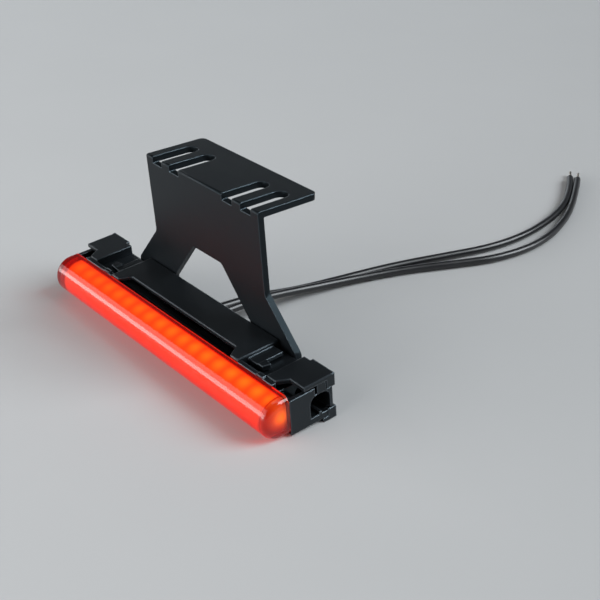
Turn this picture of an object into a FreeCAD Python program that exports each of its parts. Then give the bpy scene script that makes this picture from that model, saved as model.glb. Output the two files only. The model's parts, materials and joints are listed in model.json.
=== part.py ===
import FreeCAD, Part
import math
import os

# Third brake light: a slim LED lamp carried on the two legs of a folded steel bracket.
# Millimetres. Row frame: origin at the centre of the flange's top face, +X along the lamp,
# +Y to the back (where the wires leave), +Z up.
# The lamp and the bracket's web lean back 4 degrees. They are drawn upright in a lamp frame
# (y = 0 on the web's front face, z = 0 on the lamp's top face) and turned about the fold.

Vec = FreeCAD.Vector
X_AXIS = Vec(1, 0, 0)
Y_AXIS = Vec(0, 1, 0)

# ---- bracket ----
SHEET = 2.3
FLANGE_WIDTH = 63.0
FLANGE_DEPTH = 24.0
LEAN_DEG = 4.0
BEND_INNER = 0.4
BEND_OUTER = 0.8
FLANGE_CORNER = 2.0
SLOT_WIDTH = 5.5
SLOT_CENTRES_X = (-25.0, -15.0, 15.0, 25.0)
SLOT_END_Y = 16.8            # from the fold to the slot's rounded end
WEB_STRAIGHT = 29.7          # straight-sided part of the web, below the fold
LEG_FOOT_HALF = 46.0         # half-width over the legs' feet
LEG_FOOT_Z = -46.0           # where the flare ends, in fold coordinates
LEG_END_Z = -55.6            # bottom of the feet, in fold coordinates
WINDOW_TOP_Z = -27.2
WINDOW_TOP_HALF = 8.2
WINDOW_FOOT_HALF = 23.8
WINDOW_CORNER = 2.0
FLARE_CORNER = 3.0
FOOT_CORNER = 2.5

# ---- lamp envelope, in the lamp frame ----
LAMP_DROP = 43.4             # lamp top face below the fold
HALF_LENGTH = 64.0
BACK_Y = -0.4
JOINT_Y = -17.2              # plane where lens and housing meet
BOTTOM_Z = -15.1
DECK_Z = -3.4                # housing deck under the top plates
RAIL_FRONT_Y = -6.3
PLATE = 1.5                  # thickness of the top plates
WALL = 1.6
LENS_RADIUS = 7.1
LENS_AXIS_Y = -20.1
LENS_AXIS_Z = -8.0
LENS_HALF = 63.8
LENS_END_WALL = 3.3
LENS_END_ROUND = 2.6
DIFFUSER_RADIUS = 5.45       # the milky core fills the clear shell but for a hair's breadth
DIFFUSER_HALF = 60.45
DIFFUSER_WALL = 1.2

# ---- electronics ----
BOARD_HALF = 60.0
BOARD_FRONT_Y = -15.2
BOARD_THICK = 1.2
BOARD_BOTTOM_Z = -12.1
BOARD_TOP_Z = -5.2
BOARD_BACK_Y = BOARD_FRONT_Y + BOARD_THICK
LED_COUNT = 18
LED_PITCH = 6.66
LED_SIZE = (3.5, 1.0, 2.8)
BOARD_GAP = 0.4              # the board bay is this much longer than the board at each end
BAY_HALF = 54.0              # component bay behind the board
BAY_BACK_Y = -11.0

# ---- rear rail chamber ----
RAIL_BORE_Y = (-9.4, -1.4)
RAIL_BORE_Z = (-12.9, -5.1)
RAIL_BORE_ROUND = 3.0

# ---- top plates ----
CARRIER_HALF = 37.9
CARRIER_FRONT_Y = -12.6
CARRIER_EAR_X = 31.0
CARRIER_EAR_Y = -17.0
CLIP_INNER_X = 50.8
CLIP_OUTER_X = 64.2
CLIP_FRONT_Y = -15.5
CLIP_STEP_X = 57.4
CLIP_STEP_Y = -11.4

# ---- bracket screws ----
SCREW_XS = (-40.0, -30.0, 30.0, 40.0)
SCREW_Z = -7.6
SCREW_RADIUS = 1.45
SCREW_HOLE_RADIUS = 1.6
SCREW_REACH_Y = -6.4
SCREW_HEAD_RADIUS = 2.8
SCREW_HEAD = 2.0
DRIVE_HALF = 1.5             # cross recess, half its span
DRIVE_SLOT_HALF = 0.3
DRIVE_DEPTH = 1.1
SCREW_BOSS_RADIUS = 2.9

# ---- housing details ----
FRONT_WALL_BACK_Y = -15.9
FRONT_WALL_TOP_Z = -1.8
LIP_BACK_Y = -15.6
LIP_X = (38.2, 55.5)
LIP_TOP_Z = -0.6
NUB_TOP_Z = -0.1             # small stops that stand on the front lips
NUB_RIGHT_X = (47.8, 50.8)
NUB_LEFT_X = (-42.9, -39.8)
END_PLATE_TOP_Z = -2.4
END_PLATE_BACK_Y = -7.3
MIDDLE_PAD_HALF = 36.6
CLIP_PAD_X = 52.1
LEG_PAD_X = (26.0, 44.0)     # raised seats for the bracket's feet
LEG_PAD_Z = (-11.6, -4.0)
RAIL_RIB_Y = (-5.9, -4.9)
RAIL_RIB_HEIGHT = 0.9
POCKET_X = (56.5, 62.4)      # open pocket in the deck behind the lens's end
POCKET_STEP_Y = -12.6
POCKET_BACK_Y = -7.6
POCKET_SHALLOW_Z = -4.5
POCKET_DEEP_Z = -8.0
SLIT_X = 58.0
SLIT_FLOOR_Z = -4.9
HOOK_X = 62.4                # inner side of the notches that take the end clips' hooks
HOOK_Y = -2.7
TOP_NOTCH_Z = -4.8
FOOT_NOTCH_Z = -12.3
PASSAGE_RADIUS = 2.4         # slot for both wires and the grommet's neck
OVERRUN = 1.0                # how far a cutting shape stands out of the face it cuts

# ---- plate details ----
PLATE_BACK_Y = -0.5
CARRIER_EAR_SLOPE = 2.8
CARRIER_ROUND = 0.5
EAR_WALL_INSET = 0.3         # the ears' walls stand this far in from the plate's slanted edges
SKIRT = 1.2
CARRIER_SIDE_SKIRT = 1.1
TONGUE_END_X = 42.7
TONGUE_Y = (-12.8, -2.6)
TONGUE_Z = (-2.7, -1.3)
TONGUE_HOOK = [(42.7, -9.3), (46.0, -9.9), (45.2, -12.8), (42.7, -12.8)]
TONGUE_HOOK_TOP_Z = -0.9
CLIP_CORNER = (55.1, -12.0)  # where the clip's front edge turns, and where it meets the step
CLIP_ROUND = 0.35
STRAP_X = (54.0, 61.0)
STRAP_BACK_Y = 0.6
TOE_FRONT_Y = -4.6
TOE_THICK = 1.5
HOOK_GAP = 0.2

# ---- optics and board details ----
WINDOW_HALF = (2.1, 1.9)     # one LED's window in the tray, across and up
FLARE_HALF = (2.7, 2.4)
FLARE_DEPTH = 0.8
TRAY_GAP = 0.1
RESISTOR_XS = (-46.0, -28.0, -16.0, 16.0, 28.0, 46.0)
RESISTOR_SIZE = (3.2, 0.6, 1.6)
DRIVER_XS = (-37.0, 37.0)
DRIVER_SIZE = (4.5, 1.5, 2.5)
CAPACITOR_XS = (8.0, 12.0)
CAPACITOR_SIZE = (1.6, 1.0, 3.2)
DIODE_XS = (-10.5,)
DIODE_SIZE = (4.4, 2.2, 2.6)
SOLDER_RADIUS = 1.2
SOLDER_HEIGHT = 1.0
SOLDER_TIP_WALL = 0.1
INSULATION_START_Y = BOARD_BACK_Y + 1.4

# ---- grommet ----
GROMMET_FLANGE_RADIUS = 3.3
GROMMET_FLANGE_Y = 1.0
GROMMET_INNER_RADIUS = 3.1
GROMMET_INNER_THICK = 1.2
NOSE_BASE_RADIUS = 2.7
NOSE_TIP_WALL = 0.3

# ---- wires ----
WIRE_RADIUS = 1.5
CORE_RADIUS = 0.65
WIRE_XS = {"left": -4.3, "right": -0.7}
EXIT_Z = -9.0
NOSE_Y = 4.6                 # end of the grommet's tapered noses
STRIPPED = 7.0
LEFT_ROUTE = [
    (6, -4.4, -52.5), (18, -4.8, -54.4), (33, -5.0, -57.6), (51, -2.6, -58.4), (74, 2.0, -58.4),
    (96, 9.0, -58.4), (116, 15.5, -58.4), (137, 16.6, -58.4), (161, 11.5, -58.4), (181, 1.5, -58.4),
    (195.4, -10.2, -58.4),
]
RIGHT_ROUTE = [
    (5, -0.9, -52.2), (18, -1.6, -53.4), (35, -1.6, -56.3), (53, 0.6, -58.0), (75, 7.0, -58.4),
    (94, 16.0, -58.4), (112, 24.0, -58.4), (134, 25.6, -58.4), (156.5, 18.6, -58.4), (178, 6.6, -58.4),
    (196.5, -7.0, -58.4),
]
ARC_SHARE = 0.45             # share of the shorter run that an arc may use

os.makedirs("parts", exist_ok=True)

FOLD = FreeCAD.Placement(Vec(0, -FLANGE_DEPTH / 2, 0), FreeCAD.Rotation(X_AXIS, LEAN_DEG))
LAMP = FOLD.multiply(FreeCAD.Placement(Vec(0, 0, -LAMP_DROP), FreeCAD.Rotation()))


def box(x, y, z):
    """A box from its (low, high) limits on each axis."""
    return Part.makeBox(x[1] - x[0], y[1] - y[0], z[1] - z[0], Vec(x[0], y[0], z[0]))


def rod(radius, start, length, direction=Y_AXIS):
    return Part.makeCylinder(radius, length, Vec(*start), direction)


def fused(shapes):
    shape = shapes[0]
    if len(shapes) > 1:
        shape = shape.fuse(shapes[1:])
    return shape.removeSplitter()


def prism_xy(points, z_low, z_high):
    """A plate whose outline lies in the XY plane."""
    wire = Part.makePolygon([Vec(x, y, z_low) for x, y in points + points[:1]])
    return Part.Face(wire).extrude(Vec(0, 0, z_high - z_low))


def prism_xz(points, y_low, y_high):
    """A plate whose outline lies in the XZ plane."""
    wire = Part.makePolygon([Vec(x, y_low, z) for x, z in points + points[:1]])
    return Part.Face(wire).extrude(Vec(0, y_high - y_low, 0))


def near(value, target, slack=0.01):
    return abs(value - target) < slack


def round_edges(shape, radius, chosen):
    """Round the edges for which chosen(edge) is true."""
    return shape.makeFillet(radius, [edge for edge in shape.Edges if chosen(edge)])


def along(edge, axis):
    """True for a straight edge along the given axis."""
    if not isinstance(edge.Curve, Part.Line):
        return False
    return abs(edge.Curve.Direction.dot(axis)) > 0.999


def mirrored(shape):
    """The same shape on the other side of the lamp's middle."""
    return shape.mirror(Vec(0, 0, 0), X_AXIS)


def both_sides(shape):
    return [shape, mirrored(shape)]


def save(name, shape, placement=LAMP):
    placed = shape.copy()
    placed.Placement = placement.multiply(placed.Placement)
    placed.exportStep(f"parts/{name}.step")
    solids = len(placed.Solids)
    print(f"{name}: {solids} solid(s), {placed.Volume:.1f} mm3, valid {placed.isValid()}")


# ---- bracket ----

def leg_outline(side):
    """One flared leg with its foot, in fold coordinates."""
    return [
        (side * FLANGE_WIDTH / 2, -WEB_STRAIGHT),
        (side * LEG_FOOT_HALF, LEG_FOOT_Z),
        (side * LEG_FOOT_HALF, LEG_END_Z),
        (side * WINDOW_FOOT_HALF, LEG_END_Z),
        (side * WINDOW_FOOT_HALF, LEG_FOOT_Z),
    ]


def web_plate():
    """The web and its legs, upright behind the fold's front face."""
    half = FLANGE_WIDTH / 2
    right = leg_outline(1)
    left = leg_outline(-1)
    window = [(WINDOW_TOP_HALF, WINDOW_TOP_Z), (-WINDOW_TOP_HALF, WINDOW_TOP_Z)]
    outline = [(half, 0)] + right + window + left[::-1] + [(-half, 0)]
    plate = prism_xz(outline, 0, SHEET)
    corners = (
        (FLARE_CORNER, half, -WEB_STRAIGHT),
        (WINDOW_CORNER, WINDOW_TOP_HALF, WINDOW_TOP_Z),
        (FOOT_CORNER, LEG_FOOT_HALF, LEG_END_Z),
        (FOOT_CORNER, WINDOW_FOOT_HALF, LEG_END_Z),
        (FLARE_CORNER, LEG_FOOT_HALF, LEG_FOOT_Z),
        (FLARE_CORNER, WINDOW_FOOT_HALF, LEG_FOOT_Z),
    )
    for radius, x, z in corners:
        plate = round_edges(
            plate,
            radius,
            lambda edge: along(edge, Y_AXIS)
            and near(abs(edge.CenterOfMass.x), x)
            and near(edge.CenterOfMass.z, z),
        )
    for x in SCREW_XS:
        plate = plate.cut(rod(SCREW_HOLE_RADIUS, (x, -1, SCREW_Z - LAMP_DROP), SHEET + 2))
    return plate


def fold_block():
    """The folded corner: flange and upper web as one extruded angle with rounded bend."""
    lean = math.radians(LEAN_DEG)
    down = Vec(0, math.sin(lean), -math.cos(lean))
    back = Vec(0, math.cos(lean), math.sin(lean))
    reach = WEB_STRAIGHT / 2
    inner = Vec(0, SHEET * (1 + math.sin(lean)) / math.cos(lean), -SHEET)
    points = [
        Vec(0, 0, 0),
        Vec(0, FLANGE_DEPTH, 0),
        Vec(0, FLANGE_DEPTH, -SHEET),
        inner,
        down * reach + back * SHEET,
        down * reach,
    ]
    half = Vec(-FLANGE_WIDTH / 2, 0, 0)
    wire = Part.makePolygon([p + half for p in points + points[:1]])
    angle = Part.Face(wire).extrude(Vec(FLANGE_WIDTH, 0, 0))

    def on_bend(edge, spot):
        centre = edge.CenterOfMass
        return along(edge, X_AXIS) and near(centre.y, spot.y) and near(centre.z, spot.z)

    angle = round_edges(angle, BEND_OUTER, lambda edge: on_bend(edge, points[0]))
    angle = round_edges(angle, BEND_INNER, lambda edge: on_bend(edge, inner))
    return round_edges(
        angle,
        FLANGE_CORNER,
        lambda edge: along(edge, Vec(0, 0, 1)) and near(edge.CenterOfMass.y, FLANGE_DEPTH),
    )


def flange_slot(x):
    """An adjusting slot: round at the back, open through the fold."""
    depth = SHEET + 0.1
    low = -SHEET - 0.05
    straight = box(
        (x - SLOT_WIDTH / 2, x + SLOT_WIDTH / 2), (-1, SLOT_END_Y - SLOT_WIDTH / 2), (low, low + depth)
    )
    end = Part.makeCylinder(
        SLOT_WIDTH / 2, depth, Vec(x, SLOT_END_Y - SLOT_WIDTH / 2, low), Vec(0, 0, 1)
    )
    return straight.fuse(end)


def mounting_bracket():
    lean = FreeCAD.Placement(Vec(0, 0, 0), FreeCAD.Rotation(X_AXIS, LEAN_DEG))
    web = web_plate().common(
        box((-LEG_FOOT_HALF, LEG_FOOT_HALF), (-1, SHEET + 1), (LEG_END_Z - 1, -WEB_STRAIGHT / 3))
    )
    web.Placement = lean
    bracket = fused([fold_block(), web])
    for x in SLOT_CENTRES_X:
        bracket = bracket.cut(flange_slot(x))
    return bracket


def bracket_screws():
    screws = []
    for x in SCREW_XS:
        shank = rod(SCREW_RADIUS, (x, SCREW_REACH_Y, SCREW_Z), SHEET - SCREW_REACH_Y)
        head = rod(SCREW_HEAD_RADIUS, (x, SHEET, SCREW_Z), SCREW_HEAD)
        head = round_edges(
            head, SCREW_HEAD * 0.4, lambda edge: near(edge.CenterOfMass.y, SHEET + SCREW_HEAD)
        )
        drive_y = (SHEET + SCREW_HEAD - DRIVE_DEPTH, SHEET + SCREW_HEAD + OVERRUN)
        across = box(
            (x - DRIVE_HALF, x + DRIVE_HALF),
            drive_y,
            (SCREW_Z - DRIVE_SLOT_HALF, SCREW_Z + DRIVE_SLOT_HALF),
        )
        upright = box(
            (x - DRIVE_SLOT_HALF, x + DRIVE_SLOT_HALF),
            drive_y,
            (SCREW_Z - DRIVE_HALF, SCREW_Z + DRIVE_HALF),
        )
        screws.append(shank.fuse(head).removeSplitter().cut(across.fuse(upright)))
    return Part.makeCompound(screws)


# ---- housing ----

def housing_body():
    length = (-HALF_LENGTH, HALF_LENGTH)
    wall_y = (JOINT_Y, FRONT_WALL_BACK_Y)
    lip_y = (JOINT_Y, LIP_BACK_Y)
    parts = [
        box(length, (JOINT_Y, BACK_Y), (BOTTOM_Z, DECK_Z)),
        box(length, wall_y, (DECK_Z, END_PLATE_TOP_Z)),
        box((-LIP_X[1], LIP_X[1]), wall_y, (DECK_Z, FRONT_WALL_TOP_Z)),
        box((-MIDDLE_PAD_HALF, MIDDLE_PAD_HALF), (RAIL_FRONT_Y, BACK_Y), (DECK_Z, -PLATE)),
        box(NUB_RIGHT_X, lip_y, (LIP_TOP_Z, NUB_TOP_Z)),
        box(NUB_LEFT_X, lip_y, (LIP_TOP_Z, NUB_TOP_Z)),
    ]
    end_plate = box(
        (HALF_LENGTH - WALL, HALF_LENGTH), (JOINT_Y, END_PLATE_BACK_Y), (DECK_Z, END_PLATE_TOP_Z)
    )
    parts += both_sides(end_plate)
    parts += both_sides(box(LIP_X, lip_y, (DECK_Z, LIP_TOP_Z)))
    parts += both_sides(box((CLIP_PAD_X, HALF_LENGTH), (RAIL_FRONT_Y, BACK_Y), (DECK_Z, -PLATE)))
    parts += both_sides(box(LEG_PAD_X, (BACK_Y, 0), LEG_PAD_Z))
    return fused(parts)


def rail_bore():
    """The open channel along the back, rounded at its top, with a guide rib on its floor."""
    bore = box((-HALF_LENGTH - OVERRUN, HALF_LENGTH + OVERRUN), RAIL_BORE_Y, RAIL_BORE_Z)
    bore = round_edges(
        bore,
        RAIL_BORE_ROUND,
        lambda edge: along(edge, X_AXIS) and near(edge.CenterOfMass.z, RAIL_BORE_Z[1]),
    )
    rib_z = (RAIL_BORE_Z[0] - OVERRUN, RAIL_BORE_Z[0] + RAIL_RIB_HEIGHT)
    bore = bore.cut(box((-HALF_LENGTH, HALF_LENGTH), RAIL_RIB_Y, rib_z))
    for x in SCREW_XS:
        boss_length = RAIL_BORE_Y[1] - RAIL_BORE_Y[0] + 2 * OVERRUN
        bore = bore.cut(rod(SCREW_BOSS_RADIUS, (x, RAIL_BORE_Y[0] - OVERRUN, SCREW_Z), boss_length))
    return bore


def electronics_bay():
    board_bay = box(
        (-BOARD_HALF - BOARD_GAP, BOARD_HALF + BOARD_GAP),
        (JOINT_Y - OVERRUN, BOARD_BACK_Y),
        (BOARD_BOTTOM_Z, BOARD_TOP_Z),
    )
    return board_bay.fuse(component_bay())


def component_bay():
    return box((-BAY_HALF, BAY_HALF), (BOARD_BACK_Y, BAY_BACK_Y), (BOARD_BOTTOM_Z, BOARD_TOP_Z))


def end_pocket():
    """The open pocket in the deck behind the lens's end."""
    shallow = box(POCKET_X, (FRONT_WALL_BACK_Y, POCKET_STEP_Y), (POCKET_SHALLOW_Z, 0))
    deep = box(POCKET_X, (POCKET_STEP_Y, POCKET_BACK_Y), (POCKET_DEEP_Z, 0))
    return shallow.fuse(deep)


def stadium(radius, y_low, y_high):
    """A bar along Y with an oblong section that goes around both wires."""
    left, right = WIRE_XS["left"], WIRE_XS["right"]
    straight = box((left, right), (y_low, y_high), (EXIT_Z - radius, EXIT_Z + radius))
    ends = [rod(radius, (x, y_low, EXIT_Z), y_high - y_low) for x in (left, right)]
    return straight.fuse(ends).removeSplitter()


def housing():
    body = housing_body()
    outer_x = HALF_LENGTH + OVERRUN
    slit = box((SLIT_X, outer_x), (END_PLATE_BACK_Y, RAIL_FRONT_Y), (SLIT_FLOOR_Z, 0))
    top_notch = box((HOOK_X, outer_x), (HOOK_Y, OVERRUN), (TOP_NOTCH_Z, 0))
    foot_notch = box((HOOK_X, outer_x), (HOOK_Y, OVERRUN), (BOTTOM_Z - OVERRUN, FOOT_NOTCH_Z))
    cuts = [rail_bore(), electronics_bay(), stadium(PASSAGE_RADIUS, BAY_BACK_Y - OVERRUN, OVERRUN)]
    for piece in (end_pocket(), slit, top_notch, foot_notch):
        cuts += both_sides(piece)
    for x in SCREW_XS:
        cuts.append(rod(SCREW_RADIUS, (x, SCREW_REACH_Y, SCREW_Z), OVERRUN - SCREW_REACH_Y))
    for cutter in cuts:
        body = body.cut(cutter)
    return body.removeSplitter()


# ---- top plates ----

def carrier_plate():
    """The middle plate over the housing, with front skirt, ears and two snap tongues."""
    half = CARRIER_HALF
    ear_x = CARRIER_EAR_X
    ear_tip_x = ear_x + CARRIER_EAR_SLOPE
    outline = [
        (-half, PLATE_BACK_Y),
        (-half, CARRIER_EAR_Y),
        (-ear_tip_x, CARRIER_EAR_Y),
        (-ear_x, CARRIER_FRONT_Y),
        (ear_x, CARRIER_FRONT_Y),
        (ear_tip_x, CARRIER_EAR_Y),
        (half, CARRIER_EAR_Y),
        (half, PLATE_BACK_Y),
    ]
    top = prism_xy(outline, -PLATE, 0)
    top = round_edges(
        top,
        CARRIER_ROUND,
        lambda edge: near(edge.CenterOfMass.z, 0) and edge.CenterOfMass.y < PLATE_BACK_Y - SKIRT,
    )
    slope = CARRIER_EAR_SLOPE / (CARRIER_FRONT_Y - CARRIER_EAR_Y)
    tip_shift = slope * (CARRIER_FRONT_Y - LIP_BACK_Y)
    ear_wall_points = [
        (ear_x + EAR_WALL_INSET, CARRIER_FRONT_Y),
        (ear_x + EAR_WALL_INSET + tip_shift, LIP_BACK_Y),
        (ear_x + EAR_WALL_INSET + tip_shift + SKIRT, LIP_BACK_Y),
        (ear_x + EAR_WALL_INSET + SKIRT, CARRIER_FRONT_Y),
    ]
    ear_wall = prism_xy(ear_wall_points, DECK_Z, -PLATE)
    front_skirt = box(
        (-ear_x - SKIRT, ear_x + SKIRT), (CARRIER_FRONT_Y, CARRIER_FRONT_Y + SKIRT), (DECK_Z, -PLATE)
    )
    side_skirt = box((half - CARRIER_SIDE_SKIRT, half), (LIP_BACK_Y, PLATE_BACK_Y), (DECK_Z, -PLATE))
    tongue = box((half, TONGUE_END_X), TONGUE_Y, TONGUE_Z)
    hook = prism_xy(TONGUE_HOOK, TONGUE_Z[0], TONGUE_HOOK_TOP_Z)
    parts = [top, front_skirt]
    for piece in (ear_wall, side_skirt, tongue, hook):
        parts += both_sides(piece)
    return fused(parts)


def end_clip():
    """A C-shaped clip on the lamp's end: top plate, rear strap, hooks and toe."""
    outline = [
        (CLIP_INNER_X, PLATE_BACK_Y),
        (CLIP_INNER_X, CLIP_FRONT_Y),
        (CLIP_CORNER[0], CLIP_FRONT_Y),
        (CLIP_STEP_X, CLIP_CORNER[1]),
        (CLIP_STEP_X, CLIP_STEP_Y),
        (CLIP_OUTER_X, CLIP_STEP_Y),
        (CLIP_OUTER_X, PLATE_BACK_Y),
    ]
    top = prism_xy(outline, -PLATE, 0)
    top = round_edges(
        top,
        CLIP_ROUND,
        lambda edge: near(edge.CenterOfMass.z, 0) and edge.CenterOfMass.y < PLATE_BACK_Y - HOOK_GAP,
    )
    bottom_z = BOTTOM_Z - TOE_THICK
    hook_x = (HOOK_X + HOOK_GAP, CLIP_OUTER_X)
    hook_y = (HOOK_Y + HOOK_GAP, STRAP_BACK_Y)
    toe_x = (STRAP_X[0], CLIP_OUTER_X)
    skirt = box((CLIP_INNER_X, CLIP_INNER_X + SKIRT), (CLIP_FRONT_Y, PLATE_BACK_Y), (DECK_Z, -PLATE))
    strap = box(STRAP_X, (BACK_Y, STRAP_BACK_Y), (bottom_z, 0))
    bridge = box(toe_x, (PLATE_BACK_Y, STRAP_BACK_Y), (-PLATE, 0))
    toe = box(toe_x, (TOE_FRONT_Y, STRAP_BACK_Y), (bottom_z, BOTTOM_Z))
    top_hook = box(hook_x, hook_y, (TOP_NOTCH_Z + HOOK_GAP, -PLATE))
    foot_hook = box(hook_x, hook_y, (bottom_z, FOOT_NOTCH_Z - HOOK_GAP))
    return fused([top, skirt, strap, bridge, toe, top_hook, foot_hook])


# ---- optics ----

def half_round(radius, back_y, half_length):
    """A bar that is half round at the front and flat at the back, along X."""
    low = Vec(-half_length, LENS_AXIS_Y, LENS_AXIS_Z - radius)
    high = Vec(-half_length, LENS_AXIS_Y, LENS_AXIS_Z + radius)
    front = Vec(-half_length, LENS_AXIS_Y - radius, LENS_AXIS_Z)
    back_high = Vec(-half_length, back_y, LENS_AXIS_Z + radius)
    back_low = Vec(-half_length, back_y, LENS_AXIS_Z - radius)
    edges = [
        Part.Arc(low, front, high).toShape(),
        Part.LineSegment(high, back_high).toShape(),
        Part.LineSegment(back_high, back_low).toShape(),
        Part.LineSegment(back_low, low).toShape(),
    ]
    return Part.Face(Part.Wire(edges)).extrude(Vec(2 * half_length, 0, 0))


def lens():
    shell = half_round(LENS_RADIUS, JOINT_Y, LENS_HALF)

    def end_edge(edge):
        centre = edge.CenterOfMass
        return near(abs(centre.x), LENS_HALF) and not near(centre.y, JOINT_Y)

    shell = round_edges(shell, LENS_END_ROUND, end_edge)
    hollow = half_round(LENS_RADIUS - WALL, JOINT_Y + 1, LENS_HALF - LENS_END_WALL)
    return shell.cut(hollow)


def diffuser():
    outer = half_round(DIFFUSER_RADIUS, JOINT_Y, DIFFUSER_HALF)
    inner = half_round(DIFFUSER_RADIUS - DIFFUSER_WALL, JOINT_Y + 1, DIFFUSER_HALF - DIFFUSER_WALL)
    return outer.cut(inner)


def led_xs():
    return [(i - (LED_COUNT - 1) / 2) * LED_PITCH for i in range(LED_COUNT)]


def tray_opening(x, half, y_limits):
    """One rectangular opening in the tray, centred on an LED."""
    return box((x - half[0], x + half[0]), y_limits, (LENS_AXIS_Z - half[1], LENS_AXIS_Z + half[1]))


def reflector_tray():
    """White tray in front of the board, with one flared window for each LED."""
    front_y = JOINT_Y + TRAY_GAP
    tray = box(
        (-BOARD_HALF, BOARD_HALF),
        (front_y, BOARD_FRONT_Y),
        (BOARD_BOTTOM_Z + TRAY_GAP, BOARD_TOP_Z - TRAY_GAP),
    )
    for x in led_xs():
        window = tray_opening(x, WINDOW_HALF, (front_y - OVERRUN, BOARD_FRONT_Y + OVERRUN))
        flare = tray_opening(x, FLARE_HALF, (front_y - OVERRUN, front_y + FLARE_DEPTH))
        tray = tray.cut(window.fuse(flare))
    return tray


# ---- board and components ----

def circuit_board():
    board = box((-BOARD_HALF, BOARD_HALF), (BOARD_FRONT_Y, BOARD_BACK_Y), (BOARD_BOTTOM_Z, BOARD_TOP_Z))
    for x in WIRE_XS.values():
        board = board.cut(rod(CORE_RADIUS, (x, BOARD_FRONT_Y, EXIT_Z), BOARD_THICK))
    return board


def led_chips():
    width, depth, height = LED_SIZE
    y_limits = (BOARD_FRONT_Y - depth, BOARD_FRONT_Y)
    z_limits = (LENS_AXIS_Z - height / 2, LENS_AXIS_Z + height / 2)
    return Part.makeCompound([box((x - width / 2, x + width / 2), y_limits, z_limits) for x in led_xs()])


def components(centres, size):
    """Surface-mount parts of one kind on the back of the board."""
    width, depth, height = size
    y_limits = (BOARD_BACK_Y, BOARD_BACK_Y + depth)
    z_limits = (LENS_AXIS_Z - height / 2, LENS_AXIS_Z + height / 2)
    return Part.makeCompound([box((x - width / 2, x + width / 2), y_limits, z_limits) for x in centres])


def solder_joints():
    cones = []
    for x in WIRE_XS.values():
        base = Vec(x, BOARD_BACK_Y, EXIT_Z)
        cone = Part.makeCone(SOLDER_RADIUS, CORE_RADIUS + SOLDER_TIP_WALL, SOLDER_HEIGHT, base, Y_AXIS)
        cones.append(cone.cut(rod(CORE_RADIUS, base, SOLDER_HEIGHT)))
    return Part.makeCompound(cones)


def inner_leads():
    """The wires' insulated ends inside the housing, up to the grommet's noses."""
    length = NOSE_Y - INSULATION_START_Y
    leads = [rod(WIRE_RADIUS, (x, INSULATION_START_Y, EXIT_Z), length) for x in WIRE_XS.values()]
    return Part.makeCompound(leads)


def lead_cores():
    """The stripped conductors between the insulation and the board's front."""
    length = INSULATION_START_Y - BOARD_FRONT_Y
    cores = [rod(CORE_RADIUS, (x, BOARD_FRONT_Y, EXIT_Z), length) for x in WIRE_XS.values()]
    return Part.makeCompound(cores)


def potting(pieces):
    """Resin that fills the component bay around everything on the board's back."""
    resin = component_bay()
    for piece in pieces:
        resin = resin.cut(piece)
    return resin


# ---- grommet and wires ----

def wire_grommet():
    wall_y = RAIL_BORE_Y[1]
    parts = [
        stadium(GROMMET_FLANGE_RADIUS, BACK_Y, GROMMET_FLANGE_Y),
        stadium(PASSAGE_RADIUS, wall_y, BACK_Y),
        stadium(GROMMET_INNER_RADIUS, wall_y - GROMMET_INNER_THICK, wall_y),
    ]
    nose_length = NOSE_Y - GROMMET_FLANGE_Y
    tip_radius = WIRE_RADIUS + NOSE_TIP_WALL
    for x in WIRE_XS.values():
        base = Vec(x, GROMMET_FLANGE_Y, EXIT_Z)
        parts.append(Part.makeCone(NOSE_BASE_RADIUS, tip_radius, nose_length, base, Y_AXIS))
    grommet = fused(parts)
    for x in WIRE_XS.values():
        bore_start = RAIL_BORE_Y[0]
        grommet = grommet.cut(rod(WIRE_RADIUS, (x, bore_start, EXIT_Z), NOSE_Y + OVERRUN - bore_start))
    return grommet


def route_points(x, route):
    """The wire's route in the row frame, from the grommet's nose to its cut end."""
    start = LAMP.multVec(Vec(x, NOSE_Y, EXIT_Z))
    return [start] + [Vec(px, py, pz) for py, px, pz in route]


def rounded_path(points):
    """Straight runs joined by tangent arcs, each arc as large as its two runs allow."""
    edges = []
    radii = []
    start = points[0]
    for before, corner, after in zip(points, points[1:], points[2:]):
        arriving = (corner - before).normalize()
        leaving = (after - corner).normalize()
        half_turn = arriving.getAngle(leaving) / 2
        setback = ARC_SHARE * min(before.distanceToPoint(corner), corner.distanceToPoint(after))
        radius = setback / math.tan(half_turn)
        arc_start = corner - arriving * setback
        arc_end = corner + leaving * setback
        inward = (leaving - arriving).normalize()
        middle = corner + inward * (radius / math.cos(half_turn) - radius)
        edges.append(Part.LineSegment(start, arc_start).toShape())
        edges.append(Part.Arc(arc_start, middle, arc_end).toShape())
        radii.append(radius)
        start = arc_end
    edges.append(Part.LineSegment(start, points[-1]).toShape())
    return Part.Wire(edges), radii


def wire_tube(name, x, route):
    points = route_points(x, route)
    path, radii = rounded_path(points)
    direction = (points[1] - points[0]).normalize()
    section = Part.Wire(Part.makeCircle(WIRE_RADIUS, points[0], direction))
    tube = path.makePipeShell([section], True, False)
    expected = math.pi * WIRE_RADIUS**2 * path.Length
    print(f"{name}: length {path.Length:.1f}, radii {[round(r) for r in radii]}")
    print(f"{name}: volume {tube.Volume:.1f}, section times length {expected:.1f}")
    save(name, tube, FreeCAD.Placement())


def wire_core(route):
    """The stripped conductor that stands out of the wire's cut end."""
    end = Vec(route[-1][1], route[-1][0], route[-1][2])
    before = Vec(route[-2][1], route[-2][0], route[-2][2])
    direction = (end - before).normalize()
    return Part.makeCylinder(CORE_RADIUS, STRIPPED, end, direction)


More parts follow.
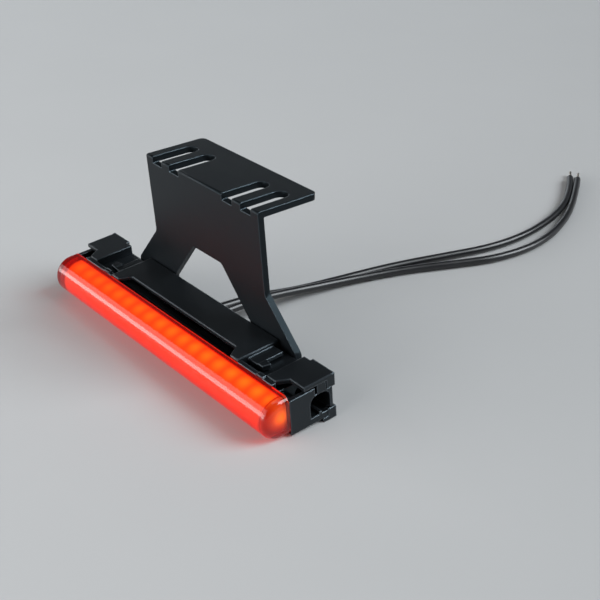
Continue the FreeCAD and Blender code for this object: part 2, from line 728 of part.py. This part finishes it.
def main():
    row = FreeCAD.Placement()
    fold_only = FreeCAD.Placement(Vec(0, -FLANGE_DEPTH / 2, 0), FreeCAD.Rotation())
    save("mounting_bracket", mounting_bracket(), fold_only)
    save("bracket_screws", bracket_screws())
    save("housing", housing())
    save("carrier_plate", carrier_plate())
    save("end_clip_right", end_clip())
    save("end_clip_left", mirrored(end_clip()))
    save("lens", lens())
    save("diffuser", diffuser())
    save("reflector_tray", reflector_tray())
    save("circuit_board", circuit_board())
    save("led_chips", led_chips())
    parts_on_back = {
        "resistors": components(RESISTOR_XS, RESISTOR_SIZE),
        "current_drivers": components(DRIVER_XS, DRIVER_SIZE),
        "capacitors": components(CAPACITOR_XS, CAPACITOR_SIZE),
        "protection_diode": components(DIODE_XS, DIODE_SIZE),
        "solder_joints": solder_joints(),
        "inner_leads": inner_leads(),
        "lead_cores": lead_cores(),
    }
    for name, shape in parts_on_back.items():
        save(name, shape)
    save("potting", potting(parts_on_back.values()))
    save("wire_grommet", wire_grommet())
    for side, route in (("left", LEFT_ROUTE), ("right", RIGHT_ROUTE)):
        wire_tube(f"wire_{side}", WIRE_XS[side], route)
        save(f"wire_core_{side}", wire_core(route), row)


main()
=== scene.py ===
import json
import math

import bmesh
import bpy
from mathutils import Matrix, Vector


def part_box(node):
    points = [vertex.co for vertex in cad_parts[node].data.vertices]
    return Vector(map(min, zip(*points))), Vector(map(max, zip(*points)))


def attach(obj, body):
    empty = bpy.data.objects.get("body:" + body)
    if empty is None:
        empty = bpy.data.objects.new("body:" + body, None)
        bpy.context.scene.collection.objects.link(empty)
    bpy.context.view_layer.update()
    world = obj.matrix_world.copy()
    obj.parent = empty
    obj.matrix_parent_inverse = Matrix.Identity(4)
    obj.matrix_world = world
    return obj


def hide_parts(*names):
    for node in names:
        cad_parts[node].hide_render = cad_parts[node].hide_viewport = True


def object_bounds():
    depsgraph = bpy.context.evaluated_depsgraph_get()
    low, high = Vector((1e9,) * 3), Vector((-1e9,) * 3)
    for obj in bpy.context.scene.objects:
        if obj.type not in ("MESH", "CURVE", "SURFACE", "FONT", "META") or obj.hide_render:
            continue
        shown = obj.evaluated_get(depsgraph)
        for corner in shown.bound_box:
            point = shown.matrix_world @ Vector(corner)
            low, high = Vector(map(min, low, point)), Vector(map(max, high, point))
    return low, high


# Third brake light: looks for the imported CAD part. Metres, row frame.

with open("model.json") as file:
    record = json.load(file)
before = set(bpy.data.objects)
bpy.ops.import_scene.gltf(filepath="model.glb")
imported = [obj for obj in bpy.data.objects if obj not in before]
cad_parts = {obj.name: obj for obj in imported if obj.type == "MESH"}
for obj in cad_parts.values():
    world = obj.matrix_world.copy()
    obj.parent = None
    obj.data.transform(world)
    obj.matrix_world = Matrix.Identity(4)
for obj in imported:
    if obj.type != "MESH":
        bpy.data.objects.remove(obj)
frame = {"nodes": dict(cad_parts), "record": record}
NODES = frame["nodes"]
CAD_LOW, CAD_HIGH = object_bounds()

LEAN = math.radians(4.0)
FOLD_Y = -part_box("mounting_bracket")[1].y  # the flange is centred on the frame's origin
LAMP_DROP = 0.0434
AXIS_Y, AXIS_Z = -0.0201, -0.0080   # middle of the half-round lens, in the lamp frame
LED_COUNT = 18
LED_PITCH = 0.00666
CORE_SHIFT = 0.0014                 # the lit core sits this far toward the lens's right end
SPOT_SHIFT = 0.0035                 # and the row of spots this far
GRAIN_DEPTH = 0.0001                # distance of every bump node
PATCH_LOW, PATCH_HIGH = 0.3, 0.7    # where most values of a noise node lie
# painted highlight: the pale colour mixed into black parts near their edges stands in for light
# caught on the edges
EDGE_HIGHLIGHT_COLOUR = (0.042, 0.049, 0.057)


# ---------------------------------------------------------------- materials

def new_material(name):
    """A node material with an empty Principled shader: (material, nodes, links, shader)."""
    material = bpy.data.materials.new(name)
    material.use_nodes = True
    tree = material.node_tree
    shader = next(n for n in tree.nodes if n.type == "BSDF_PRINCIPLED")
    return material, tree.nodes, tree.links, shader


def object_coords(nodes, links, scale=(1, 1, 1)):
    """Coordinates in metres on the object itself, stretched by scale."""
    coords = nodes.new("ShaderNodeTexCoord")
    mapping = nodes.new("ShaderNodeMapping")
    mapping.inputs["Scale"].default_value = scale
    links.new(coords.outputs["Object"], mapping.inputs["Vector"])
    return mapping.outputs["Vector"]


def noise(nodes, links, vector, scale, detail=3.0, rough=0.55):
    n = nodes.new("ShaderNodeTexNoise")
    n.inputs["Scale"].default_value = scale
    n.inputs["Detail"].default_value = detail
    n.inputs["Roughness"].default_value = rough
    links.new(vector, n.inputs["Vector"])
    return n.outputs["Fac"]


def remap(nodes, links, value, low, high, to_low, to_high):
    n = nodes.new("ShaderNodeMapRange")
    n.inputs["From Min"].default_value = low
    n.inputs["From Max"].default_value = high
    n.inputs["To Min"].default_value = to_low
    n.inputs["To Max"].default_value = to_high
    links.new(value, n.inputs["Value"])
    return n.outputs["Result"]


def math_node(nodes, links, operation, a, b=None):
    n = nodes.new("ShaderNodeMath")
    n.operation = operation
    for socket, value in zip(n.inputs, (a, b)):
        if value is None:
            continue
        if isinstance(value, (int, float)):
            socket.default_value = value
        else:
            links.new(value, socket)
    return n.outputs["Value"]


def blend_colour(nodes, links, factor, low, high):
    n = nodes.new("ShaderNodeMix")
    n.data_type = "RGBA"
    n.inputs["A"].default_value = (*low, 1)
    n.inputs["B"].default_value = (*high, 1)
    links.new(factor, n.inputs["Factor"])
    return n.outputs[2]


def add_bump(nodes, links, shader, height, strength, normal=None):
    bump = nodes.new("ShaderNodeBump")
    bump.inputs["Strength"].default_value = strength
    bump.inputs["Distance"].default_value = GRAIN_DEPTH
    links.new(height, bump.inputs["Height"])
    if normal is not None:
        links.new(normal, bump.inputs["Normal"])
    links.new(bump.outputs["Normal"], shader.inputs["Normal"])


def rounded_edges(nodes, links, radius):
    """(normal that rounds off sharp edges, how near a point is to such an edge from 0 to 1)."""
    rounded = nodes.new("ShaderNodeBevel")
    rounded.samples = 6
    rounded.inputs["Radius"].default_value = radius
    geometry = nodes.new("ShaderNodeNewGeometry")
    dot = nodes.new("ShaderNodeVectorMath")
    dot.operation = "DOT_PRODUCT"
    links.new(rounded.outputs["Normal"], dot.inputs[0])
    links.new(geometry.outputs["Normal"], dot.inputs[1])
    near_edge = remap(nodes, links, dot.outputs["Value"], 1.0, 0.86, 0.0, 1.0)
    return rounded.outputs["Normal"], near_edge


# Paints a highlight: mixes the painted highlight colour into the body colour near sharp edges.
def painted_edge_highlight(nodes, links, body, near_edge):
    n = nodes.new("ShaderNodeMix")
    n.data_type = "RGBA"
    n.inputs["B"].default_value = (*EDGE_HIGHLIGHT_COLOUR, 1)
    links.new(body, n.inputs["A"])
    links.new(near_edge, n.inputs["Factor"])
    return n.outputs[2]


def grained(
    name, low, high, rough, grain, strength,
    metallic=0.0, spread=0.06, patch=60.0, specular=0.5,
):
    """A surface with large soft colour patches, uneven gloss and a fine grain."""
    material, nodes, links, shader = new_material(name)
    vector = object_coords(nodes, links)
    patches = noise(nodes, links, vector, patch, 4.0)
    fine = noise(nodes, links, vector, grain, 2.0)
    links.new(blend_colour(nodes, links, patches, low, high), shader.inputs["Base Color"])
    gloss = remap(nodes, links, patches, PATCH_LOW, PATCH_HIGH, rough - spread, rough + spread)
    links.new(gloss, shader.inputs["Roughness"])
    shader.inputs["Metallic"].default_value = metallic
    shader.inputs["Specular IOR Level"].default_value = specular
    add_bump(nodes, links, shader, fine, strength)
    return material


def moulded_black():
    """Dark glass-filled plastic with polished, slightly rounded edges and a painted highlight on
    them.
    """
    material, nodes, links, shader = new_material("housing_black")
    vector = object_coords(nodes, links)
    patches = noise(nodes, links, vector, 80.0, 4.0)
    fine = noise(nodes, links, vector, 6500.0, 2.0)
    normal, near_edge = rounded_edges(nodes, links, 0.0006)
    body = blend_colour(nodes, links, patches, (0.0035, 0.0042, 0.0050), (0.0070, 0.0082, 0.0095))
    # painted highlight: the colour turns paler near the edges
    links.new(painted_edge_highlight(nodes, links, body, near_edge), shader.inputs["Base Color"])
    gloss = remap(nodes, links, patches, PATCH_LOW, PATCH_HIGH, 0.31, 0.39)
    polish = math_node(nodes, links, "MULTIPLY", near_edge, 0.22)
    links.new(math_node(nodes, links, "SUBTRACT", gloss, polish), shader.inputs["Roughness"])
    shine = remap(nodes, links, near_edge, 0.0, 1.0, 0.40, 1.0)
    links.new(shine, shader.inputs["Specular IOR Level"])
    # painted reflection colour: the blue specular tint cools every reflection
    shader.inputs["Specular Tint"].default_value = (0.72, 0.88, 1.0, 1)
    add_bump(nodes, links, shader, fine, 0.10, normal)
    return material


def powder_coat():
    """Satin black coat over folded steel: orange peel, a shinier film on the edges, and a painted
    highlight on them.
    """
    material, nodes, links, shader = new_material("bracket_black")
    vector = object_coords(nodes, links)
    patches = noise(nodes, links, vector, 45.0, 4.0)
    peel = noise(nodes, links, vector, 1700.0, 2.0)
    speck = noise(nodes, links, vector, 5200.0, 2.0)
    normal, edge_nearness = rounded_edges(nodes, links, 0.0004)
    body = blend_colour(nodes, links, patches, (0.0040, 0.0048, 0.0058), (0.0070, 0.0085, 0.0100))
    # painted highlight: the colour turns paler near the edges
    links.new(painted_edge_highlight(nodes, links, body, edge_nearness), shader.inputs["Base Color"])
    gloss = remap(nodes, links, patches, PATCH_LOW, PATCH_HIGH, 0.37, 0.45)
    polish = math_node(nodes, links, "MULTIPLY", edge_nearness, 0.26)
    links.new(math_node(nodes, links, "SUBTRACT", gloss, polish), shader.inputs["Roughness"])
    shine = remap(nodes, links, edge_nearness, 0.0, 1.0, 0.16, 0.95)
    links.new(shine, shader.inputs["Specular IOR Level"])
    # painted reflection colour: the blue specular tint cools every reflection
    shader.inputs["Specular Tint"].default_value = (0.62, 0.86, 1.0, 1)
    height = math_node(nodes, links, "ADD", peel, math_node(nodes, links, "MULTIPLY", speck, 0.3))
    add_bump(nodes, links, shader, height, 0.08, normal)
    return material


def clear_red():
    """Polished red acrylic with a faint painted red glow. Shadow rays pass it, so the lit bar
    inside also lights the floor.
    """
    material, nodes, links, shader = new_material("lens_red")
    vector = object_coords(nodes, links)
    ripple = noise(nodes, links, vector, 320.0, 1.0)
    haze = noise(nodes, links, vector, 140.0, 3.0)
    shader.inputs["Base Color"].default_value = (0.60, 0.045, 0.032, 1)
    shader.inputs["Transmission Weight"].default_value = 1.0
    shader.inputs["IOR"].default_value = 1.49
    # painted glow: a faint red emission stands in for the core's light carried inside the lens
    shader.inputs["Emission Color"].default_value = (1.0, 0.010, 0.008, 1)
    shader.inputs["Emission Strength"].default_value = 0.08
    gloss = remap(nodes, links, haze, PATCH_LOW, PATCH_HIGH, 0.07, 0.13)
    links.new(gloss, shader.inputs["Roughness"])
    add_bump(nodes, links, shader, ripple, 0.03)
    through = nodes.new("ShaderNodeBsdfTransparent")
    through.inputs["Color"].default_value = (0.80, 0.10, 0.06, 1)
    path = nodes.new("ShaderNodeLightPath")
    mixer = nodes.new("ShaderNodeMixShader")
    output = next(n for n in nodes if n.type == "OUTPUT_MATERIAL")
    links.new(path.outputs["Is Shadow Ray"], mixer.inputs["Fac"])
    links.new(shader.outputs["BSDF"], mixer.inputs[1])
    links.new(through.outputs["BSDF"], mixer.inputs[2])
    links.new(mixer.outputs["Shader"], output.inputs["Surface"])
    return material


def lamp_coords(nodes, links):
    """Object coordinates turned into the lamp frame: x along the lamp, y back, z up its face."""
    coords = nodes.new("ShaderNodeTexCoord")
    mapping = nodes.new("ShaderNodeMapping")
    mapping.vector_type = "TEXTURE"
    origin = Vector((0, FOLD_Y, 0)) + Matrix.Rotation(LEAN, 3, "X") @ Vector((0, 0, -LAMP_DROP))
    mapping.inputs["Location"].default_value = origin
    mapping.inputs["Rotation"].default_value = (LEAN, 0, 0)
    links.new(coords.outputs["Object"], mapping.inputs["Vector"])
    separate = nodes.new("ShaderNodeSeparateXYZ")
    links.new(mapping.outputs["Vector"], separate.inputs["Vector"])
    return separate.outputs


def gauss(nodes, links, distances, sigma):
    """exp(-(sum of squares) / (2 sigma^2)) of the given distances."""
    total = None
    for distance in distances:
        square = math_node(nodes, links, "MULTIPLY", distance, distance)
        total = square if total is None else math_node(nodes, links, "ADD", total, square)
    exponent = math_node(nodes, links, "DIVIDE", total, -2 * sigma**2)
    return math_node(nodes, links, "EXPONENT", exponent)


SPOT_SIGMA = 0.00155
SPOT_LENGTH = LED_PITCH * 0.85      # a spot's cell, drawn a little longer than it is
SPOT_ROW = (AXIS_Y - 0.0009, AXIS_Z + 0.0054)
SPOT_FADE_X = (-0.055, 0.060)       # from here to there the spots rise in strength
SPOT_FADE = (0.38, 0.92)
END_GLOW_SIGMA = 0.0025
END_GLOW_PLACE = (AXIS_Y + 0.0002, AXIS_Z + 0.0004)
END_FADE = (0.0574, 0.0598)         # distances from the core's middle
LOWER_GLOW = (0.88, 0.045, 0.012)
UPPER_GLOW = (1.16, 0.210, 0.016)
SPOT_COLOUR = (0.45, 0.74, 0.02)


def lit_bar():
    """The milky core: soft spots along its upper side, weaker to the left, and lit ends.

    There are as many spots as LEDs, but SPOT_SHIFT puts them beside the CAD's LEDs.
    """
    material, nodes, links, shader = new_material("diffuser_red")

    def calc(operation, a, b=None):
        return math_node(nodes, links, operation, a, b)

    x, y, z = lamp_coords(nodes, links)
    cell = calc("DIVIDE", calc("SUBTRACT", x, SPOT_SHIFT), LED_PITCH)
    cell = calc("ADD", cell, LED_COUNT / 2)
    offset = calc("SUBTRACT", calc("FRACT", cell), 0.5)
    along = calc("MULTIPLY", offset, SPOT_LENGTH)
    back = calc("SUBTRACT", y, SPOT_ROW[0])
    up = calc("SUBTRACT", z, SPOT_ROW[1])
    spot = gauss(nodes, links, (along, back, up), SPOT_SIGMA)
    spot = calc("MULTIPLY", spot, calc("GREATER_THAN", cell, 0.0))
    spot = calc("MULTIPLY", spot, remap(nodes, links, x, *SPOT_FADE_X, *SPOT_FADE))
    from_middle = calc("ABSOLUTE", calc("SUBTRACT", x, CORE_SHIFT))
    at_end = remap(nodes, links, from_middle, *END_FADE, 0.0, 1.0)
    end_back = calc("SUBTRACT", y, END_GLOW_PLACE[0])
    end_up = calc("SUBTRACT", z, END_GLOW_PLACE[1])
    end_glow = gauss(nodes, links, (end_back, end_up), END_GLOW_SIGMA)
    shade = calc("MULTIPLY", at_end, calc("SUBTRACT", 1.0, end_glow))
    spot = calc("ADD", spot, calc("MULTIPLY", end_glow, at_end))
    rise = remap(nodes, links, z, AXIS_Z - 0.0040, AXIS_Z + 0.0045, 0.0, 1.0)
    cloud = noise(nodes, links, object_coords(nodes, links), 160.0, 3.0)
    body = blend_colour(nodes, links, rise, LOWER_GLOW, UPPER_GLOW)
    lit = nodes.new("ShaderNodeMix")
    lit.data_type = "RGBA"
    lit.blend_type = "ADD"
    lit.inputs["B"].default_value = (*SPOT_COLOUR, 1)
    links.new(body, lit.inputs["A"])
    links.new(spot, lit.inputs["Factor"])
    links.new(lit.outputs[2], shader.inputs["Emission Color"])
    steady = remap(nodes, links, cloud, PATCH_LOW, PATCH_HIGH, 0.97, 1.03)
    falling = calc("SUBTRACT", steady, calc("MULTIPLY", shade, 0.97))
    underside = remap(nodes, links, z, AXIS_Z - 0.0048, AXIS_Z - 0.0005, 0.50, 1.0)
    links.new(calc("MULTIPLY", falling, underside), shader.inputs["Emission Strength"])
    shader.inputs["Base Color"].default_value = (0.30, 0.05, 0.03, 1)
    gloss = remap(nodes, links, cloud, PATCH_LOW, PATCH_HIGH, 0.45, 0.55)
    links.new(gloss, shader.inputs["Roughness"])
    return material


def pvc():
    """Smooth extruded insulation with faint lengthwise unevenness."""
    return grained(
        "wire_black", (0.005, 0.005, 0.006), (0.010, 0.010, 0.012), 0.32, 2400.0, 0.04,
        spread=0.04, patch=90.0, specular=0.60,
    )


MATERIALS = {
    "bracket_black": powder_coat(),
    "screw_zinc": grained(
        "screw_zinc", (0.48, 0.48, 0.50), (0.62, 0.61, 0.58), 0.34, 3000.0, 0.15,
        metallic=1.0, patch=500.0,
    ),
    "housing_black": moulded_black(),
    "lens_red": clear_red(),
    "diffuser_red": lit_bar(),
    "reflector_white": grained(
        "reflector_white", (0.80, 0.79, 0.76), (0.88, 0.87, 0.84), 0.5, 4000.0, 0.1
    ),
    "board_white": grained(
        "board_white", (0.74, 0.76, 0.73), (0.84, 0.85, 0.82), 0.4, 5000.0, 0.1
    ),
    "led_yellow": grained(
        "led_yellow", (0.85, 0.60, 0.20), (0.95, 0.75, 0.32), 0.25, 5000.0, 0.05
    ),
    "chip_black": grained(
        "chip_black", (0.012, 0.012, 0.012), (0.03, 0.03, 0.03), 0.5, 7000.0, 0.2
    ),
    "ceramic_tan": grained(
        "ceramic_tan", (0.42, 0.30, 0.20), (0.55, 0.42, 0.30), 0.45, 6000.0, 0.15
    ),
    "solder": grained(
        "solder", (0.60, 0.60, 0.61), (0.75, 0.75, 0.74), 0.22, 1500.0, 0.2, metallic=1.0
    ),
    "resin_black": grained(
        "resin_black", (0.008, 0.008, 0.008), (0.02, 0.02, 0.02), 0.18, 900.0, 0.1
    ),
    "rubber_black": grained(
        "rubber_black", (0.010, 0.010, 0.011), (0.022, 0.022, 0.023), 0.62, 4200.0, 0.2
    ),
    "wire_black": pvc(),
    "tinned_copper": grained(
        "tinned_copper", (0.62, 0.56, 0.50), (0.78, 0.75, 0.70), 0.28, 2600.0, 0.2, metallic=1.0
    ),
}

SLOT_OF = {row["node"]: row["material_slot"] for row in frame["record"]["subparts"]}
for node_name, node in NODES.items():
    node.data.materials.clear()
    node.data.materials.append(MATERIALS[SLOT_OF[node_name]])


# ------------------------------------------------- softened edges on CAD nodes

SAME_PLACE = 1e-6
FLAT_WITHIN = math.radians(0.6)
SHARP_FROM = math.radians(35)


def soften(node_name, width):
    """Rounds the node's sharp edges with modifiers. The node's own mesh stays as packed."""
    node = NODES[node_name]
    weld = node.modifiers.new("weld", "WELD")
    weld.merge_threshold = SAME_PLACE
    flat = node.modifiers.new("flat", "DECIMATE")
    flat.decimate_type = "DISSOLVE"
    flat.angle_limit = FLAT_WITHIN
    bevel = node.modifiers.new("bevel", "BEVEL")
    bevel.width = width
    bevel.segments = 2
    bevel.limit_method = "ANGLE"
    bevel.angle_limit = SHARP_FROM
    bevel.harden_normals = True


soften("mounting_bracket", 0.00030)
soften("housing", 0.00018)
soften("carrier_plate", 0.00018)
soften("end_clip_left", 0.00020)
soften("end_clip_right", 0.00020)
soften("bracket_screws", 0.00012)
soften("wire_grommet", 0.00020)


# ---------------------------------------------------------------- milky core

CORE_RADIUS = 0.00553               # in contact with the clear shell round it
CORE_HALF = 0.06053
CORE_BACK_Y = -0.0172
CORE_CORNER = 0.0016
CORE_END_ROUND = 0.0020
CORNER_STEPS = 10
ARC_STEPS = 56
END_STEPS = 6
SMALLEST_CORNER = 0.0003


def core_section(inset):
    """Half-round section with rounded back corners: (y, z) in the lamp frame, going round once."""
    radius = CORE_RADIUS - inset
    back = CORE_BACK_Y - inset
    corner = max(CORE_CORNER - inset, SMALLEST_CORNER)
    points = []
    for k in range(CORNER_STEPS + 1):
        angle = math.pi / 2 * k / CORNER_STEPS
        y = back - corner + corner * math.cos(angle)
        points.append((y, -radius + corner - corner * math.sin(angle)))
    for k in range(ARC_STEPS + 1):
        angle = math.pi * (k / ARC_STEPS - 0.5)
        points.append((AXIS_Y - radius * math.cos(angle), radius * math.sin(angle)))
    for k in range(CORNER_STEPS + 1):
        angle = math.pi / 2 * k / CORNER_STEPS
        y = back - corner + corner * math.sin(angle)
        points.append((y, radius - corner + corner * math.cos(angle)))
    return [(y, AXIS_Z + z) for y, z in points]


def milky_core():
    """The lit core, rounded at its ends."""
    place = Matrix.Translation((0, FOLD_Y, 0)) @ Matrix.Rotation(LEAN, 4, "X")
    place = place @ Matrix.Translation((0, 0, -LAMP_DROP))
    stations = []
    for k in range(END_STEPS + 1):
        angle = math.pi / 2 * k / END_STEPS
        inset = CORE_END_ROUND * (1 - math.sin(angle))
        stations.append((CORE_HALF - CORE_END_ROUND * (1 - math.cos(angle)), inset))
    stations = [(-x, inset) for x, inset in stations] + [(x, inset) for x, inset in stations[::-1]]
    mesh = bmesh.new()
    loops = []
    for x, inset in stations:
        section = core_section(inset)
        loops.append([mesh.verts.new(place @ Vector((x + CORE_SHIFT, y, z))) for y, z in section])
    for lower, upper in zip(loops, loops[1:]):
        for k in range(len(lower)):
            following = (k + 1) % len(lower)
            mesh.faces.new((lower[k], lower[following], upper[following], upper[k]))
    mesh.faces.new(loops[0][::-1])
    mesh.faces.new(loops[-1])
    bmesh.ops.recalc_face_normals(mesh, faces=mesh.faces)
    data = bpy.data.meshes.new("milky_core")
    mesh.to_mesh(data)
    mesh.free()
    data.polygons.foreach_set("use_smooth", [len(face.vertices) == 4 for face in data.polygons])
    data.materials.append(MATERIALS["diffuser_red"])
    piece = bpy.data.objects.new("milky_core", data)
    bpy.context.scene.collection.objects.link(piece)
    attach(piece, "root")
    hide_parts("diffuser")


milky_core()


# ---------------------------------------------------------------- wires

WIRE_DIAMETER = 0.003
EXIT_LOCAL = (0.0046, -0.0090)      # the grommet's nose: y, z in the lamp frame
LEFT_X = -0.0043
RIGHT_X = -0.0007
LEFT_ROUTE = [
    (-0.0044, 0.006, -0.0525), (-0.0048, 0.018, -0.0544), (-0.0050, 0.033, -0.0576),
    (-0.0026, 0.051, -0.0584), (0.0020, 0.074, -0.0584), (0.0090, 0.096, -0.0584),
    (0.0155, 0.116, -0.0584), (0.0166, 0.137, -0.0584), (0.0115, 0.161, -0.0584),
    (0.0015, 0.181, -0.0584), (-0.0102, 0.1954, -0.0584),
]
RIGHT_ROUTE = [
    (-0.0009, 0.005, -0.0522), (-0.0016, 0.018, -0.0534), (-0.0016, 0.035, -0.0563),
    (0.0006, 0.053, -0.0580), (0.0070, 0.075, -0.0584), (0.0160, 0.094, -0.0584),
    (0.0240, 0.112, -0.0584), (0.0256, 0.134, -0.0584), (0.0186, 0.1565, -0.0584),
    (0.0066, 0.178, -0.0584), (-0.0070, 0.1965, -0.0584),
]
LEFT_LENGTH = 0.209
RIGHT_LENGTH = 0.2135


def wire_exit(x):
    turn = Matrix.Rotation(LEAN, 3, "X")
    return Vector((0, FOLD_Y, 0)) + turn @ Vector((x, EXIT_LOCAL[0], EXIT_LOCAL[1] - LAMP_DROP))


def wire(name, x, route):
    points = [wire_exit(x)] + [Vector(p) for p in route]
    data = bpy.data.curves.new(name, "CURVE")
    data.dimensions = "3D"
    spline = data.splines.new("NURBS")
    spline.points.add(len(points) - 1)
    for control, point in zip(spline.points, points):
        control.co = (*point, 1)
    spline.order_u = 3
    spline.use_endpoint_u = True
    spline.resolution_u = 24
    data.resolution_u = 24
    data.bevel_depth = WIRE_DIAMETER / 2
    data.bevel_resolution = 7
    data.use_fill_caps = True
    data.materials.append(MATERIALS["wire_black"])
    piece = bpy.data.objects.new(name, data)
    bpy.context.scene.collection.objects.link(piece)
    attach(piece, "root")
    return piece, points


def bare_strands(name, points, length, count=7, strand=0.00022, turns=1.1):
    """The stripped end: twisted tinned strands."""
    direction = (points[-1] - points[-2]).normalized()
    side = direction.cross(Vector((0, 0, 1))).normalized()
    up = side.cross(direction).normalized()
    mesh = bmesh.new()
    rings = 22
    sides = 8
    for index in range(count):
        radius = 0.0 if index == 0 else strand * 1.95
        phase = 2 * math.pi * index / (count - 1)
        centres = []
        for step in range(rings):
            share = step / (rings - 1)
            turn = phase + 2 * math.pi * turns * share
            around = side * math.cos(turn) + up * math.sin(turn)
            centres.append(points[-1] + direction * (length * share) + around * radius)
        loops = []
        for centre in centres:
            loop = []
            for k in range(sides):
                angle = 2 * math.pi * k / sides
                offset = side * math.cos(angle) + up * math.sin(angle)
                loop.append(mesh.verts.new(centre + offset * strand))
            loops.append(loop)
        for lower, upper in zip(loops, loops[1:]):
            for k in range(sides):
                following = (k + 1) % sides
                mesh.faces.new((lower[k], lower[following], upper[following], upper[k]))
        mesh.faces.new(loops[0][::-1])
        mesh.faces.new(loops[-1])
    bmesh.ops.recalc_face_normals(mesh, faces=mesh.faces)
    data = bpy.data.meshes.new(name)
    mesh.to_mesh(data)
    mesh.free()
    data.polygons.foreach_set("use_smooth", [True] * len(data.polygons))
    data.materials.append(MATERIALS["tinned_copper"])
    piece = bpy.data.objects.new(name, data)
    bpy.context.scene.collection.objects.link(piece)
    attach(piece, "root")
    return piece


STRIPPED = 0.0068
for side_name, x, route, length in (
    ("left", LEFT_X, LEFT_ROUTE, LEFT_LENGTH),
    ("right", RIGHT_X, RIGHT_ROUTE, RIGHT_LENGTH),
):
    lead, control_points = wire(f"lead_{side_name}", x, route)
    strands = bare_strands(f"strands_{side_name}", control_points, STRIPPED)
    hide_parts(f"wire_{side_name}")
    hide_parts(f"wire_core_{side_name}")


# ---------------------------------------------------------------- stage

FLOOR_HALF = 6.0
FLOOR_GAP = 0.00005                 # keeps the floor clear of the wires


def floor():
    """A plain pale floor, level with the lowest point of the lamp."""
    mesh = bmesh.new()
    bmesh.ops.create_grid(mesh, x_segments=8, y_segments=8, size=FLOOR_HALF)
    data = bpy.data.meshes.new("floor")
    mesh.to_mesh(data)
    mesh.free()
    material, nodes, links, shader = new_material("floor_pale")
    tone = noise(nodes, links, object_coords(nodes, links), 14.0, 3.0)
    grey = blend_colour(nodes, links, tone, (0.49, 0.49, 0.49), (0.51, 0.51, 0.51))
    links.new(grey, shader.inputs["Base Color"])
    shader.inputs["Roughness"].default_value = 0.7
    shader.inputs["Specular IOR Level"].default_value = 0.25
    data.materials.append(material)
    piece = bpy.data.objects.new("floor", data)
    piece.location = (0, 0, CAD_LOW.z - FLOOR_GAP)
    bpy.context.scene.collection.objects.link(piece)


def softbox(name, place, target, size, power, colour=(1, 1, 1)):
    """A softbox facing the target; size is its height, then its width."""
    data = bpy.data.lights.new(name, "AREA")
    data.shape = "RECTANGLE"
    data.size, data.size_y = size
    data.energy = power
    data.color = colour
    lamp = bpy.data.objects.new(name, data)
    lamp.location = place
    lamp.rotation_mode = "QUATERNION"
    lamp.rotation_quaternion = (Vector(target) - Vector(place)).to_track_quat("-Z", "X")
    bpy.context.scene.collection.objects.link(lamp)
    return lamp


def level_softbox(name, centre, target, size, power):
    """A softbox whose long side lies along X and which faces the target."""
    lamp = softbox(name, centre, target, size, power)
    back = (Vector(centre) - Vector(target)).normalized()
    along = (Vector((1, 0, 0)) - back * back.x).normalized()
    up = back.cross(along)
    lamp.rotation_quaternion = Matrix((along, up, back)).transposed().to_quaternion()
    return lamp


def window_light(toward, irradiance, spread, colour):
    """Even light over the whole floor, as from a large window in the direction toward."""
    data = bpy.data.lights.new("window", "SUN")
    data.energy = irradiance
    data.angle = spread
    data.color = colour
    lamp = bpy.data.objects.new("window", data)
    lamp.rotation_mode = "QUATERNION"
    lamp.rotation_quaternion = Vector(toward).to_track_quat("Z", "Y")
    bpy.context.scene.collection.objects.link(lamp)


def backdrop():
    """Pale at the level of the floor, darker above, so that the black tops stay black."""
    world = bpy.data.worlds.new("studio")
    world.use_nodes = True
    nodes, links = world.node_tree.nodes, world.node_tree.links
    background = next(n for n in nodes if n.type == "BACKGROUND")
    background.inputs["Color"].default_value = (0.90, 0.95, 1.0, 1)
    direction = nodes.new("ShaderNodeTexCoord")
    separate = nodes.new("ShaderNodeSeparateXYZ")
    links.new(direction.outputs["Generated"], separate.inputs["Vector"])
    fade = remap(nodes, links, separate.outputs["Z"], 0.02, 0.30, 0.42, 0.07)
    links.new(fade, background.inputs["Strength"])
    bpy.context.scene.world = world


def studio():
    backdrop()
    level_softbox("front_wide", (-1.08, -0.876, 0.339), (-1.08, -0.03, -0.03), (2.9, 0.75), 11.5)
    level_softbox("front_low", (-1.08, -0.858, 0.114), (-1.08, -0.03, -0.03), (2.9, 0.32), 11.5)
    softbox("overhead", (0.05, 0.10, 0.95), (0, 0, -0.03), (0.55, 0.55), 1.0)
    softbox("left_back", (-0.86, 0.58, 0.10), (0, 0, -0.04), (0.12, 0.9), 0.7, (0.86, 0.94, 1.0))
    window_light((0.56, 0.55, 0.62), 3.1, math.radians(38), (0.90, 0.96, 1.0))
    bpy.context.scene.view_settings.view_transform = "Standard"


CAMERA_PLACE = (0.2969, -0.2102, 0.1522)
AZIMUTH = math.radians(51.008)
ELEVATION = math.radians(28.912)
ROLL = math.radians(-0.264)
FOCAL = 71.07
SENSOR_WIDTH = 36.0


def camera():
    right = Vector((math.cos(AZIMUTH), math.sin(AZIMUTH), 0))
    back = Vector(
        (
            math.sin(AZIMUTH) * math.cos(ELEVATION),
            -math.cos(AZIMUTH) * math.cos(ELEVATION),
            math.sin(ELEVATION),
        )
    )
    up = back.cross(right)
    rolled_right = right * math.cos(ROLL) + up * math.sin(ROLL)
    rolled_up = up * math.cos(ROLL) - right * math.sin(ROLL)
    data = bpy.data.cameras.new("camera")
    data.lens = FOCAL
    data.sensor_width = SENSOR_WIDTH
    data.clip_start = 0.01
    piece = bpy.data.objects.new("camera", data)
    turn = Matrix((rolled_right, rolled_up, back)).transposed().to_4x4()
    piece.matrix_world = Matrix.Translation(CAMERA_PLACE) @ turn
    bpy.context.scene.collection.objects.link(piece)
    bpy.context.scene.camera = piece


floor()
studio()
camera()
